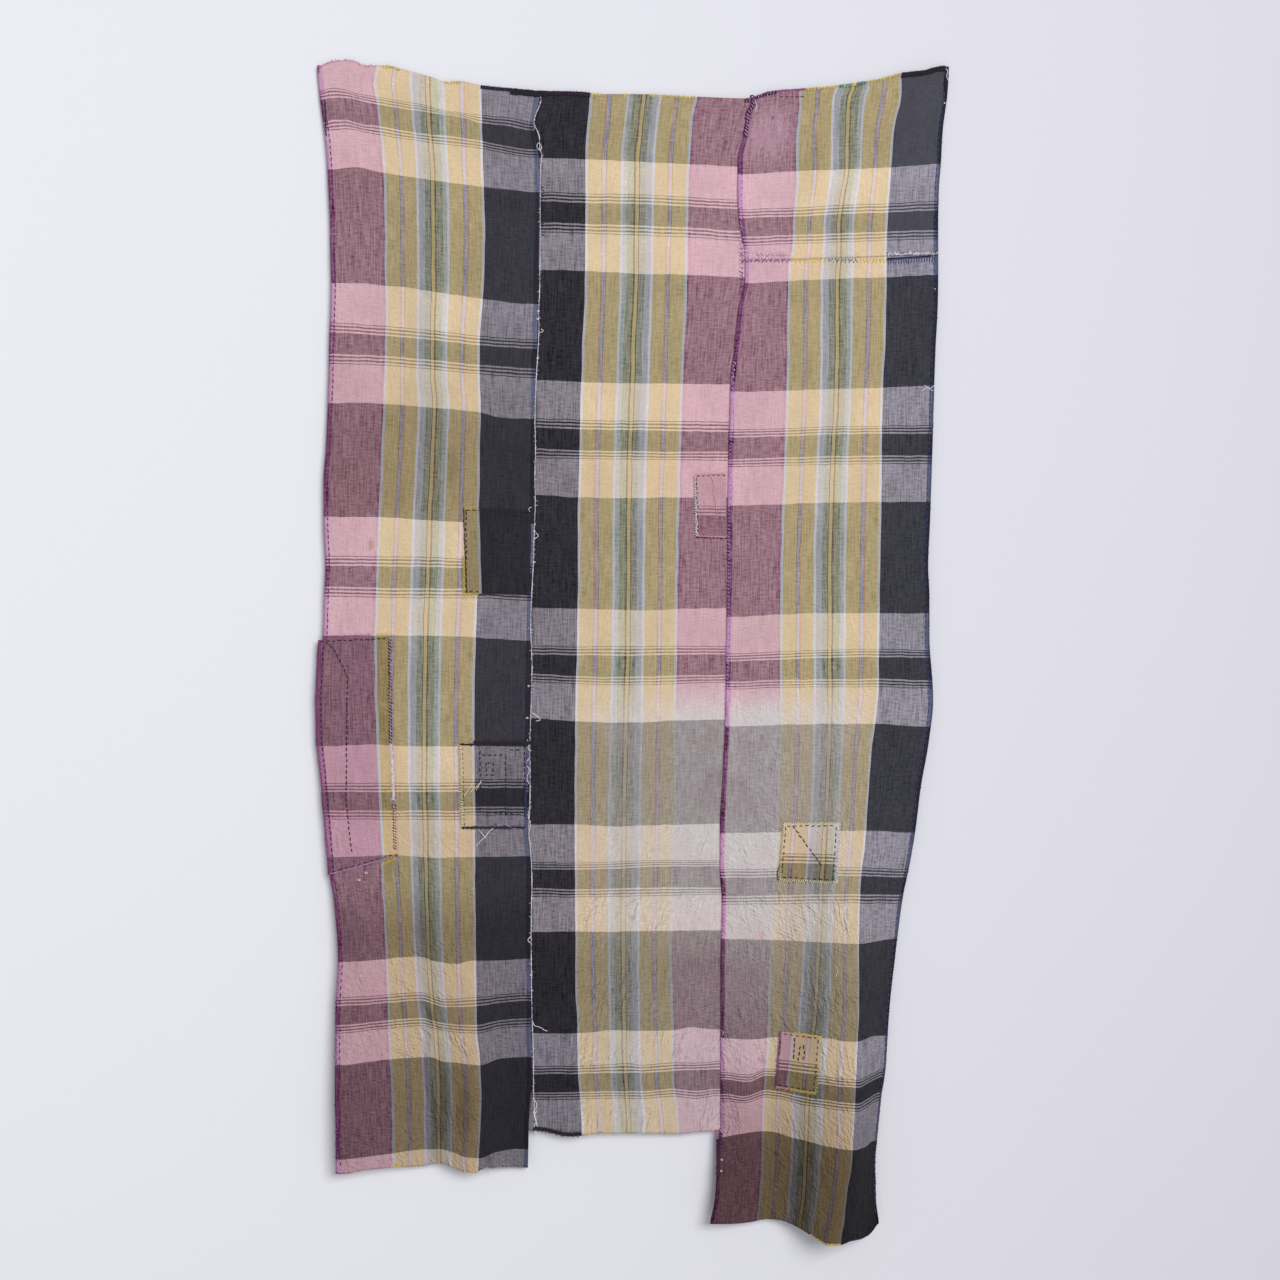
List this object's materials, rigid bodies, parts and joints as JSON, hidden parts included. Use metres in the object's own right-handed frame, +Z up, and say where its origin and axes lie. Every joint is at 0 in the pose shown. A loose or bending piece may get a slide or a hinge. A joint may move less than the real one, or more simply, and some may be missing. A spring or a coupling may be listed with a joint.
{
  "type": "patched plaid cotton wall hanging",
  "caption": "Mended wall hanging of hand-woven plaid cotton lengths sewn side by side, with sewn-on patches, a sagging top edge and a stepped hem.",
  "frame": {"origin": "on the wall behind the middle of the top edge", "axes": "+Z up, +X to the right as the front is seen, -Y out from the wall towards the viewer"},
  "size_m": [1.0112, 0.0606, 1.8728],
  "materials": {
    "plaid_cotton": "plain-woven cotton, soft and matt",
    "dark_patch_cotton": "plain-woven cotton, soft and matt",
    "mauve_patch_cotton": "plain-woven cotton, soft and matt",
    "striped_patch_cotton": "plain-woven cotton, soft and matt"
  },
  "bodies": {
    "root": {"panel_left": "plaid_cotton", "panel_middle": "plaid_cotton", "panel_right_top": "plaid_cotton", "panel_right": "plaid_cotton", "patch_dark": "dark_patch_cotton", "patch_mauve": "mauve_patch_cotton", "patch_blue_grey": "dark_patch_cotton", "patch_pink": "mauve_patch_cotton", "patch_striped": "striped_patch_cotton", "patch_tilted": "striped_patch_cotton"}
  },
  "joints": []
}
